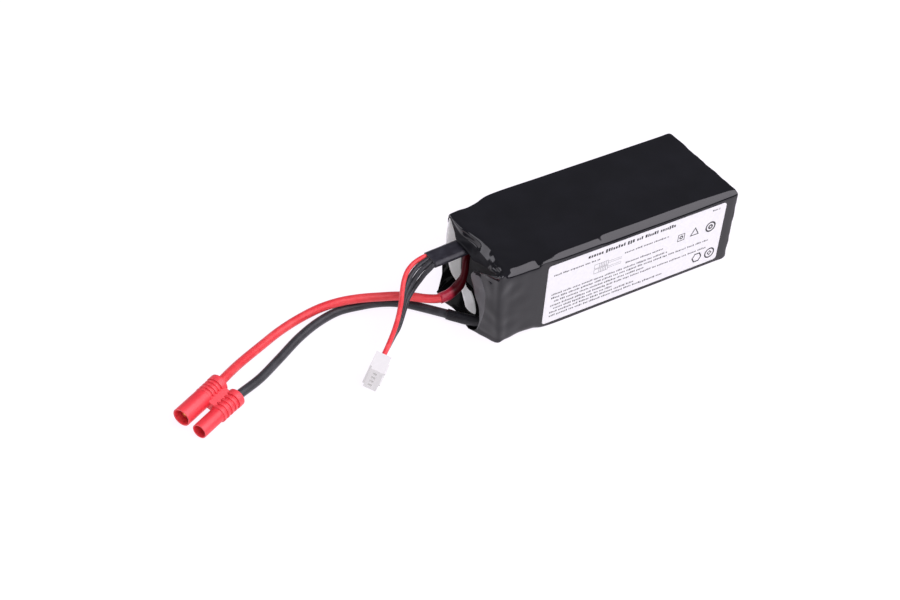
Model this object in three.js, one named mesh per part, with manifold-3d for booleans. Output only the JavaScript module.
// A three-cell lithium-polymer battery pack for a radio-controlled model.
// Millimetres. The pack lies on the XY plane: +X runs along it away from its leads,
// -Y is the side with the label, and +Z is up. The origin is under the pack's middle.
import * as THREE from "three";
import { mergeVertices } from "three/addons/utils/BufferGeometryUtils.js";
import Module from "manifold-3d";

const wasm = await Module();
wasm.setup();

// Driving dimensions
const PACK = { length: 96.2, width: 38, height: 28.8, cornerRadius: 2.8, film: 0.5 };
const LABEL = { x0: -29.9, x1: 43.8, z0: 1.7, z1: 26.3, radius: 1.2, thickness: 0.15 };
const LINER = { x0: -45.4, x1: -40.2, y0: -2.6, z1: 26.6, thickness: 0.3 };
const CELL = { width: 35.8, thickness: 8.6, frontX: -29.5, backX: 46.6, seam: 1.2, count: 3 };
const PAD = { length: 60, width: 30, thickness: 0.4, gap: 0.5 };
const TAPE = { x0: 4, x1: 24, thickness: 0.25 };
const TAB = { width: 6, thickness: 0.2, offsetY: 9, foot: 2.6 };
const BOARD = { x: -35.6, thickness: 1.2, width: 32, height: 24.4 };
const INSULATOR = { frontX: -39.4, backX: 47.1, thickness: 0.5, width: 32, height: 26 };
const POWER_WIRE = { radius: 1.5, bootRadius: 1.85 };
const BALANCE_WIRE = { radius: 0.8, pitch: 1.68, count: 4, ribbonTurn: 115 };
const BALANCE_SLEEVE = { width: 7.5, thickness: 2.45, wall: 0.3 };
const CONNECTOR = { length: 18.5, spacing: 7.05, heading: 205.7, roll: -16.7, rear: [-134.9, 0] };
const BARREL_WIDE = { outer: 3.1, bore: 2.6, collar: 3.3, ring: 3.2, groove: 2.75, length: 10.6 };
const BARREL_NARROW = { outer: 2.5, bore: 2.12, collar: 3.05, ring: 2.95, groove: 2.5, length: 8.9 };
const PLUG = { length: 6.6, width: 5.1, row: 12.3, pitch: 2.5, heading: 217.7, dip: 14.5, roll: -16.7 };
const PLUG_CENTRE = [-92.3, -17.4, 7.3];
const TOUCH_GAP = 0.3; // clearance where a turned piece or a wire meets its neighbour
const BOOT_GAP = 0.7; // clearance between a boot's end and the wire that goes on from it
const SMALL_GAP = 0.05; // clearance between stacked flat pieces

const halfWidth = PACK.width / 2;
const endX = PACK.length / 2;
const midZ = PACK.height / 2;
const cellPitch = CELL.thickness + PAD.gap;
const boardFrontX = BOARD.x - BOARD.thickness / 2;
const wireStartX = boardFrontX - 1.6;
const sleeveStart = new THREE.Vector3(-43.5, 6.4, 22.8);
const sleeveEnd = new THREE.Vector3(-58.5, 6.8, 21.4);

// Cord routes: hand-laid points, each joined by one smooth curve
const POSITIVE_ROUTE = [
  [-37.8, 10.6, 17.6], [-40.2, 10.0, 18.0], [-42.4, 8.6, 17.2], [-44.0, 7.0, 15.2],
  [-44.9, 5.8, 12.6], [-45.9, 5.2, 10.0], [-47.6, 4.9, 7.7], [-50.0, 4.7, 6.1], [-52.4, 4.6, 5.4],
  [-54.8, 4.8, 5.1], [-58.8, 7.0, 5.0], [-62.5, 9.9, 5.1], [-66.6, 12.2, 5.3], [-72.0, 14.6, 5.3],
  [-78.1, 17.1, 5.2], [-84.4, 19.2, 4.7], [-91.2, 20.5, 3.7], [-98.7, 20.7, 2.2], [-107.1, 18.6, 1.9],
  [-116.3, 14.6, 2.3], [-125.9, 9.7, 3.4], [-131.4, 6.1, 4.6], [-134.2, 4.3, 5.0],
];
const NEGATIVE_ROUTE = [
  [-37.8, -13.6, 6.4], [-41.0, -13.7, 5.0], [-44.4, -12.5, 3.7], [-47.3, -9.9, 2.9],
  [-49.9, -6.9, 2.6], [-52.3, -3.8, 2.3], [-54.8, -0.2, 2.1], [-57.2, 3.2, 1.8],
  [-60.4, 7.3, 1.6], [-63.6, 10.9, 1.55], [-68.0, 14.2, 1.55], [-72.9, 16.3, 1.55],
  [-77.9, 17.5, 1.55], [-85.0, 18.5, 1.55], [-93.3, 17.0, 1.55], [-102.6, 13.3, 1.55],
  [-112.9, 7.5, 1.6], [-122.7, 1.9, 2.0], [-128.6, -0.9, 2.7], [-131.4, -2.1, 3.0],
];
const POSITIVE_BALANCE_ROUTE = [
  [-60.6, 9.2, 21.2], [-63.3, 8.9, 20.5], [-66.1, 7.9, 19.3], [-68.6, 5.9, 17.9], [-70.9, 3.1, 16.5],
  [-73.6, -0.7, 15.3], [-77.2, -5.1, 14.2], [-81.0, -9.1, 13.3],
];
const POSITIVE_BOOT_END = 9; // the route point where the boot on the red wire ends
const NEGATIVE_BOOT_END = 6; // and the same on the black wire

// Turning geometry into solids and back
function toSolid(geometry) {
  const bare = geometry.index ? geometry.toNonIndexed() : geometry.clone();
  bare.deleteAttribute("normal");
  bare.deleteAttribute("uv");
  const merged = mergeVertices(bare, 1e-4);
  const mesh = new wasm.Mesh({
    numProp: 3,
    vertProperties: new Float32Array(merged.attributes.position.array),
    triVerts: new Uint32Array(merged.index.array),
  });
  return new wasm.Manifold(mesh);
}

function toGeometry(solid) {
  const mesh = solid.getMesh();
  const geometry = new THREE.BufferGeometry();
  geometry.setAttribute("position", new THREE.BufferAttribute(mesh.vertProperties, 3));
  geometry.setIndex(new THREE.BufferAttribute(mesh.triVerts, 1));
  geometry.computeVertexNormals();
  return geometry;
}

const join = (...parts) => toGeometry(parts.map(toSolid).reduce((a, b) => a.add(b)));
const cut = (...parts) => toGeometry(parts.map(toSolid).reduce((a, b) => a.subtract(b)));
const common = (...parts) => toGeometry(parts.map(toSolid).reduce((a, b) => a.intersect(b)));

// Basic shapes
function block(x0, x1, y0, y1, z0, z1) {
  const geometry = new THREE.BoxGeometry(x1 - x0, y1 - y0, z1 - z0);
  return geometry.translate((x0 + x1) / 2, (y0 + y1) / 2, (z0 + z1) / 2);
}

function roundedRectangle(width, height, radius) {
  const shape = new THREE.Shape();
  const [a, b] = [width / 2, height / 2];
  shape.moveTo(-a + radius, -b);
  shape.lineTo(a - radius, -b);
  shape.absarc(a - radius, -b + radius, radius, -Math.PI / 2, 0);
  shape.absarc(a - radius, b - radius, radius, 0, Math.PI / 2);
  shape.absarc(-a + radius, b - radius, radius, Math.PI / 2, Math.PI);
  shape.absarc(-a + radius, -b + radius, radius, Math.PI, Math.PI * 1.5);
  return shape;
}

function extrude(shape, depth, curveSegments) {
  return new THREE.ExtrudeGeometry(shape, { depth, curveSegments, bevelEnabled: false });
}

// A shape drawn in Y and Z, swept along X
function alongX(shape, x0, x1, curveSegments = 5) {
  const geometry = extrude(shape, x1 - x0, curveSegments);
  const turn = new THREE.Matrix4().set(0, 0, 1, x0, 1, 0, 0, 0, 0, 1, 0, 0, 0, 0, 0, 1);
  return geometry.applyMatrix4(turn);
}

// A shape drawn in Z and X, swept along Y
function alongY(shape, y0, y1, curveSegments = 5) {
  const geometry = extrude(shape, y1 - y0, curveSegments);
  const turn = new THREE.Matrix4().set(0, 1, 0, 0, 0, 0, 1, y0, 1, 0, 0, 0, 0, 0, 0, 1);
  return geometry.applyMatrix4(turn);
}

// A solid turned about the X axis from [x, radius] points
function turned(profile, segments = 20) {
  const points = profile.map(([x, radius]) => new THREE.Vector2(radius, x));
  const geometry = new THREE.LatheGeometry(points, segments);
  return geometry.rotateZ(-Math.PI / 2);
}

function disc(radius, x0, x1, y, z, segments = 16) {
  return turned([[x0, 0], [x0, radius], [x1, radius], [x1, 0]], segments).translate(0, y, z);
}

// A cord of round section along a smooth curve
function cord(points, radius, spacing) {
  const curve = new THREE.CatmullRomCurve3(points, false, "centripetal");
  const steps = Math.max(3, Math.round(curve.getLength() / spacing));
  const section = new THREE.Shape().absarc(0, 0, radius, 0, Math.PI * 2);
  return new THREE.ExtrudeGeometry(section, { steps, curveSegments: 4, extrudePath: curve });
}

const toVectors = (route) => route.map((p) => new THREE.Vector3(...p));

// Assembling
const group = new THREE.Group();
const finishes = {
  film: { color: 0x17171c, roughness: 0.2 },
  paper: { color: 0xf2f2f2, roughness: 0.5 },
  pouch: { color: 0xb9bcc0, roughness: 0.35, metalness: 0.8 },
  foam: { color: 0xe4e0d4, roughness: 0.9 },
  nickel: { color: 0xc8c6c0, roughness: 0.3, metalness: 1 },
  board: { color: 0x1d5a34, roughness: 0.5 },
  tape: { color: 0xc98f2e, roughness: 0.35 },
  card: { color: 0x202024, roughness: 0.8 },
  solder: { color: 0xc4c6c8, roughness: 0.3, metalness: 1 },
  redSilicone: { color: 0xd92b35, roughness: 0.5 },
  blackSilicone: { color: 0x1c1b20, roughness: 0.5 },
  redNylon: { color: 0xe8313e, roughness: 0.45 },
  gold: { color: 0xd9a23c, roughness: 0.25, metalness: 1 },
  whiteNylon: { color: 0xf1eff0, roughness: 0.5 },
};

function add(name, geometry, finish, parent = group) {
  const mesh = new THREE.Mesh(geometry, new THREE.MeshStandardMaterial(finishes[finish]));
  mesh.name = name;
  parent.add(mesh);
}

// The film's outer skin, or its inner skin when inset: straight over the cells, drawn in
// on the far side past the cells' front end
function filmSolid(inset) {
  const [x0, x1, y] = [-endX + inset, endX - inset, halfWidth - inset];
  const [bendX, farPull, backRadius] = [CELL.frontX, 2.2, 1.6];
  const plan = new THREE.Shape();
  plan.moveTo(x0, -y);
  plan.lineTo(x1 - backRadius, -y);
  plan.quadraticCurveTo(x1, -y, x1, -y + backRadius);
  plan.lineTo(x1, y - backRadius);
  plan.quadraticCurveTo(x1, y, x1 - backRadius, y);
  plan.lineTo(bendX, y);
  plan.bezierCurveTo(bendX - 6, y, bendX - 8, y - farPull, x0, y - farPull);
  const section = roundedRectangle(2 * y, PACK.height - 2 * inset, PACK.cornerRadius - inset);
  const bar = alongX(section, x0, x1, 4).translate(0, 0, midZ);
  return common(bar, extrude(plan, PACK.height, 6));
}

function addSleeve() {
  const sill = PACK.film + SMALL_GAP;
  const rim = [
    [14.6, 5], [15, 15], [13.6, 23.5], [8, 24.9], [1.4, 24.4],
    [-4, 21.3], [-9.2, 15.3], [-11.6, 8], [-12.6, sill],
  ];
  const mouth = new THREE.Shape();
  mouth.moveTo(12.5, sill);
  mouth.splineThru(rim.map(([y, z]) => new THREE.Vector2(y, z)));
  const window = roundedRectangle(PACK.width - 11, PACK.height - 9, 5);
  const shell = cut(
    filmSolid(0),
    filmSolid(PACK.film),
    alongX(mouth, -endX - 2, -endX + 2, 3),
    alongX(window, endX - 2, endX + 2, 4).translate(0, 0, midZ),
  );
  add("shrink_sleeve", shell, "film");
}

// A paper lining along the far wall and the bottom, just inside the mouth
function addLiner() {
  const inset = PACK.film + SMALL_GAP;
  const skin = cut(filmSolid(inset), filmSolid(inset + LINER.thickness));
  add("mouth_liner", common(skin, block(LINER.x0, LINER.x1, LINER.y0, halfWidth, 0, LINER.z1)), "paper");
}

function addLabel() {
  const outline = roundedRectangle(LABEL.z1 - LABEL.z0, LABEL.x1 - LABEL.x0, LABEL.radius);
  const label = alongY(outline, -halfWidth - LABEL.thickness, -halfWidth, 4);
  label.translate((LABEL.x0 + LABEL.x1) / 2, 0, (LABEL.z0 + LABEL.z1) / 2);
  add("info_label", label, "paper");
}

// A pouch cell: a soft-edged slab whose front end thins to the sealed seam its tabs leave from
function cellGeometry() {
  const [half, seam, length] = [CELL.thickness / 2, CELL.seam / 2, CELL.backX - CELL.frontX];
  const seamLength = 6;
  const shoulder = 3;
  const side = new THREE.Shape();
  side.moveTo(-seam, 0);
  side.lineTo(-seam, seamLength);
  side.quadraticCurveTo(-half, seamLength, -half, seamLength + shoulder);
  side.lineTo(-half, length - 1.5);
  side.quadraticCurveTo(-half, length, -half + 1.5, length);
  side.lineTo(half - 1.5, length);
  side.quadraticCurveTo(half, length, half, length - 1.5);
  side.lineTo(half, seamLength + shoulder);
  side.quadraticCurveTo(half, seamLength, seam, seamLength);
  side.lineTo(seam, 0);
  const slab = alongX(roundedRectangle(CELL.width, CELL.thickness, 2.4), 0, length, 3);
  return common(slab, alongY(side, -CELL.width / 2, CELL.width / 2, 4)).translate(CELL.frontX, 0, 0);
}

const cellZ = (index) => midZ + (index - (CELL.count - 1) / 2) * cellPitch;

// A tab runs from a cell's seam and folds against the back of the board
function tabGeometry(side, foldUp) {
  const backX = BOARD.x + BOARD.thickness / 2 + TOUCH_GAP;
  const [y0, y1] = [side * TAB.offsetY - TAB.width / 2, side * TAB.offsetY + TAB.width / 2];
  const half = TAB.thickness / 2;
  const strip = block(backX, CELL.frontX - TOUCH_GAP, y0, y1, -half, half);
  const foot = foldUp
    ? block(backX, backX + TAB.thickness, y0, y1, 0, TAB.foot)
    : block(backX, backX + TAB.thickness, y0, y1, -TAB.foot, 0);
  return join(strip, foot);
}

// Neighbouring cells face opposite ways, so joined tabs sit above each other on the board
function addCells() {
  for (let index = 0; index < CELL.count; index++) {
    const number = index + 1;
    const z = cellZ(index);
    const side = index % 2 === 0 ? 1 : -1;
    add(`cell_${number}`, cellGeometry().translate(0, 0, z), "pouch");
    add(`cell_${number}_positive_tab`, tabGeometry(side, true).translate(0, 0, z), "nickel");
    add(`cell_${number}_negative_tab`, tabGeometry(-side, false).translate(0, 0, z), "nickel");
    if (index < CELL.count - 1) {
      const padX = (CELL.backX + CELL.frontX + 9) / 2;
      const pad = new THREE.BoxGeometry(PAD.length, PAD.width, PAD.thickness);
      add(`cell_pad_${number}`, pad.translate(padX, 0, z + cellPitch / 2), "foam");
    }
  }
}

function addTape() {
  const [width, height] = [CELL.width + 2 * SMALL_GAP, cellPitch * CELL.count - PAD.gap + 2 * SMALL_GAP];
  const outline = roundedRectangle(width + 2 * TAPE.thickness, height + 2 * TAPE.thickness, 2.4);
  outline.holes.push(roundedRectangle(width, height, 2.2));
  add("bundle_tape", alongX(outline, TAPE.x0, TAPE.x1, 3).translate(0, 0, midZ), "tape");
}

// The two ends' insulating cards, the front one with openings for the leads
function addInsulators() {
  const { frontX, backX, thickness, width, height } = INSULATOR;
  const card = (x) => new THREE.BoxGeometry(thickness, width, height).translate(x, 0, midZ);
  const past = thickness;
  const front = cut(
    card(frontX),
    disc(3, frontX - past, frontX + past, 10.3, 17.9),
    disc(3, frontX - past, frontX + past, -13.7, 5.7),
    block(frontX - past, frontX + past, 0.5, 12.5, 20.9, 24.6),
  );
  add("front_insulator", front, "card");
  add("rear_insulator", card(backX), "card");
}

// Board with a plated pad hole for each lead, and a drop of solder on each
function addBoard() {
  const plate = new THREE.BoxGeometry(BOARD.thickness, BOARD.width, BOARD.height);
  plate.translate(BOARD.x, 0, midZ);
  const leads = [
    ["positive_solder_joint", POSITIVE_ROUTE[0][1], POSITIVE_ROUTE[0][2], 2],
    ["negative_solder_joint", NEGATIVE_ROUTE[0][1], NEGATIVE_ROUTE[0][2], 2],
  ];
  for (let i = 0; i < BALANCE_WIRE.count; i++) {
    const y = sleeveStart.y + balanceOffset(i, PLUG.pitch);
    leads.push([`balance_solder_joint_${i + 1}`, y, sleeveStart.z, 1]);
  }
  const holes = leads.map(([, y, z, radius]) => disc(radius * 0.5, BOARD.x - 1, BOARD.x + 1, y, z, 12));
  add("tab_board", cut(plate, ...holes), "board");
  for (const [name, y, z, radius] of leads) {
    const drop = turned([
      [boardFrontX - 1.25, 0], [boardFrontX - 1.2, radius * 0.55], [boardFrontX - 0.7, radius * 0.8],
      [boardFrontX - SMALL_GAP, radius], [boardFrontX - SMALL_GAP, 0],
    ], 16);
    add(name, drop.translate(0, y, z), "solder");
  }
}

// Offset of balance wire i across the ribbon: the last one is the positive wire
function balanceOffset(i, pitch) {
  return (i - (BALANCE_WIRE.count - 1) / 2) * pitch;
}

// Red and black power wires, each with a heat-shrink boot over the stretch inside the mouth,
// ending at the rear face of its side of the connector
function addPowerWires(connector) {
  const wires = [
    ["positive", POSITIVE_ROUTE, "redSilicone", POSITIVE_BOOT_END, -1],
    ["negative", NEGATIVE_ROUTE, "blackSilicone", NEGATIVE_BOOT_END, 1],
  ];
  for (const [pole, route, finish, bootEnd, side] of wires) {
    const entry = new THREE.Vector3(-TOUCH_GAP, (side * CONNECTOR.spacing) / 2, 0);
    const points = [...toVectors(route), connector.localToWorld(entry)];
    const bootTip = points[bootEnd];
    const along = points[bootEnd + 1].clone().sub(bootTip).normalize();
    const wirePoints = [bootTip.clone().addScaledVector(along, BOOT_GAP), ...points.slice(bootEnd + 1)];
    add(`${pole}_wire_boot`, cord(points.slice(0, bootEnd + 1), POWER_WIRE.bootRadius, 2.6), finish);
    add(`power_wire_${pole}`, cord(wirePoints, POWER_WIRE.radius, 7), finish);
  }
}

// The four balance wires leave the board side by side, run through a flat heat-shrink
// sleeve and turn on edge on their way to the plug, with the positive wire on top
function balanceWirePoints(i, plug) {
  const mating = new THREE.Vector3(1, 0, 0).transformDirection(plug.matrixWorld);
  const rear = new THREE.Vector3(-PLUG.length / 2 - TOUCH_GAP, 0, balanceOffset(i, PLUG.pitch));
  const entry = rear.applyMatrix4(plug.matrixWorld);
  const last = BALANCE_WIRE.count - 1;
  const across = new THREE.Vector3(0, balanceOffset(i, BALANCE_WIRE.pitch), 0);
  const points = [
    new THREE.Vector3(wireStartX, sleeveStart.y + balanceOffset(i, PLUG.pitch), sleeveStart.z),
    sleeveStart.clone().add(across).add(new THREE.Vector3(1.4, 0, 0)),
    sleeveStart.clone().lerp(sleeveEnd, 0.5).add(across),
    sleeveEnd.clone().add(across),
  ];
  const route = toVectors(POSITIVE_BALANCE_ROUTE);
  const start = sleeveEnd.clone().setY(sleeveEnd.y + balanceOffset(last, BALANCE_WIRE.pitch));
  route.forEach((point, k) => {
    const share = (k + 1) / (route.length + 1);
    const along = (route[k + 1] ?? entry).clone().sub(route[k - 1] ?? start).normalize();
    const turn = THREE.MathUtils.degToRad(BALANCE_WIRE.ribbonTurn * share);
    const spread = new THREE.Vector3(0, Math.cos(turn), Math.sin(turn));
    spread.addScaledVector(along, -spread.dot(along)).normalize();
    const pitch = THREE.MathUtils.lerp(BALANCE_WIRE.pitch, PLUG.pitch, share ** 3);
    points.push(point.clone().addScaledVector(spread, (i - last) * pitch));
  });
  points.push(entry.clone().addScaledVector(mating, -4), entry);
  return points;
}

function addBalanceWires(plug) {
  for (let i = 0; i < BALANCE_WIRE.count; i++) {
    const finish = i === BALANCE_WIRE.count - 1 ? "redSilicone" : "blackSilicone";
    add(`balance_wire_${i + 1}`, cord(balanceWirePoints(i, plug), BALANCE_WIRE.radius, 3.6), finish);
  }
}

function addBalanceSleeve() {
  const { width, thickness, wall } = BALANCE_SLEEVE;
  const outline = roundedRectangle(width, thickness, thickness / 2 - 0.01);
  outline.holes.push(roundedRectangle(width - 2 * wall, thickness - 2 * wall, thickness / 2 - wall - 0.01));
  const run = sleeveEnd.clone().sub(sleeveStart);
  const geometry = alongX(outline, 0, run.length(), 4);
  const turn = new THREE.Quaternion().setFromUnitVectors(new THREE.Vector3(-1, 0, 0), run.normalize());
  geometry.rotateZ(Math.PI).applyQuaternion(turn).translate(...sleeveStart.toArray());
  add("balance_sleeve", geometry, "blackSilicone");
}

// One ribbed grip and barrel of the connector, from its rear face at x = 0 to its open mouth
function barrelProfile({ outer, bore, collar, ring, groove, length }) {
  const barrelX = CONNECTOR.length - length;
  const collarEnd = 2.3;
  const rings = 4;
  const step = (barrelX - collarEnd) / rings;
  const floorX = 6;
  const points = [[0, 0], [0, collar - 0.3], [0.3, collar], [collarEnd - 0.3, collar], [collarEnd, groove]];
  for (let k = 0; k < rings; k++) {
    const x = collarEnd + k * step;
    points.push([x + step * 0.4, groove], [x + step * 0.5, ring], [x + step * 0.88, ring]);
    if (k < rings - 1) points.push([x + step, groove]);
  }
  points.push([barrelX, outer], [CONNECTOR.length - 0.15, outer], [CONNECTOR.length, outer - 0.15]);
  points.push([CONNECTOR.length, bore + 0.1], [CONNECTOR.length - 0.2, bore], [floorX, bore], [floorX, 0]);
  return points;
}

function addConnector() {
  const connector = new THREE.Group();
  const roll = THREE.MathUtils.degToRad(CONNECTOR.roll);
  const lift = BARREL_NARROW.collar + (CONNECTOR.spacing / 2) * Math.sin(-roll);
  connector.rotation.set(roll, 0, THREE.MathUtils.degToRad(CONNECTOR.heading), "ZYX");
  connector.position.set(...CONNECTOR.rear, lift);
  connector.updateMatrixWorld(true);
  group.add(connector);

  const half = CONNECTOR.spacing / 2;
  const wide = turned(barrelProfile(BARREL_WIDE), 24).translate(0, -half, 0);
  const narrow = turned(barrelProfile(BARREL_NARROW), 24).translate(0, half, 0);
  const web = cut(
    block(0.8, 9, -half + 0.6, half - 0.6, -1.7, 1.7),
    disc(BARREL_WIDE.bore, 6, 10, -half, 0, 24),
    disc(BARREL_NARROW.bore, 6, 10, half, 0, 24),
  );
  add("power_connector_housing", join(wide, narrow, web), "redNylon", connector);

  const pin = turned([
    [6.3, 0], [6.3, 2.3], [8.2, 2.3], [8.2, 1.75], [15.9, 1.75], [16.7, 1.2], [16.9, 0],
  ], 20).translate(0, -half, 0);
  const socket = turned([
    [6.3, 0], [6.3, 2], [17.2, 2], [17.2, 1.72], [8.5, 1.72], [8.5, 0],
  ], 20).translate(0, half, 0);
  add("positive_bullet", pin, "gold", connector);
  add("negative_bullet", socket, "gold", connector);
  return connector;
}

// Balance plug: local x is its mating direction and local z its row of contacts
function addPlug() {
  const plug = new THREE.Group();
  const [roll, dip, heading] = [PLUG.roll, PLUG.dip, PLUG.heading].map(THREE.MathUtils.degToRad);
  plug.rotation.set(roll, dip, heading, "ZYX");
  plug.position.set(...PLUG_CENTRE);
  plug.updateMatrixWorld(true);
  group.add(plug);

  const [halfLength, halfWide, halfRow] = [PLUG.length / 2, PLUG.width / 2, PLUG.row / 2];
  const [cavity, contact, floorX] = [0.65, 0.42, -halfLength + 1.4];
  const slots = [];
  for (let i = 0; i < BALANCE_WIRE.count; i++) {
    const z = balanceOffset(i, PLUG.pitch);
    slots.push(block(floorX, halfLength + 1, -cavity, cavity, z - cavity, z + cavity));
    const pin = block(floorX + TOUCH_GAP, halfLength - 1, -contact, contact, z - contact, z + contact);
    add(`balance_contact_${i + 1}`, pin, "nickel", plug);
  }
  const [rearX, frontX] = [-halfLength, halfLength];
  const rib = (z) => block(rearX + 1.6, frontX - 1.2, halfWide - 0.2, halfWide + 0.5, z - 0.5, z + 0.5);
  const body = join(
    block(rearX, frontX, -halfWide, halfWide, -halfRow, halfRow),
    rib(-halfRow + 2.4),
    rib(halfRow - 2.4),
  );
  const notch = block(frontX - 1, frontX + 1, -halfWide - 1, 0.7 - halfWide, -halfRow - 1, halfRow + 1);
  add("balance_plug_housing", cut(body, notch, ...slots), "whiteNylon", plug);
  return plug;
}

addSleeve();
addLiner();
addLabel();
addCells();
addTape();
addInsulators();
addBoard();
addPowerWires(addConnector());
addBalanceSleeve();
addBalanceWires(addPlug());

export default group;
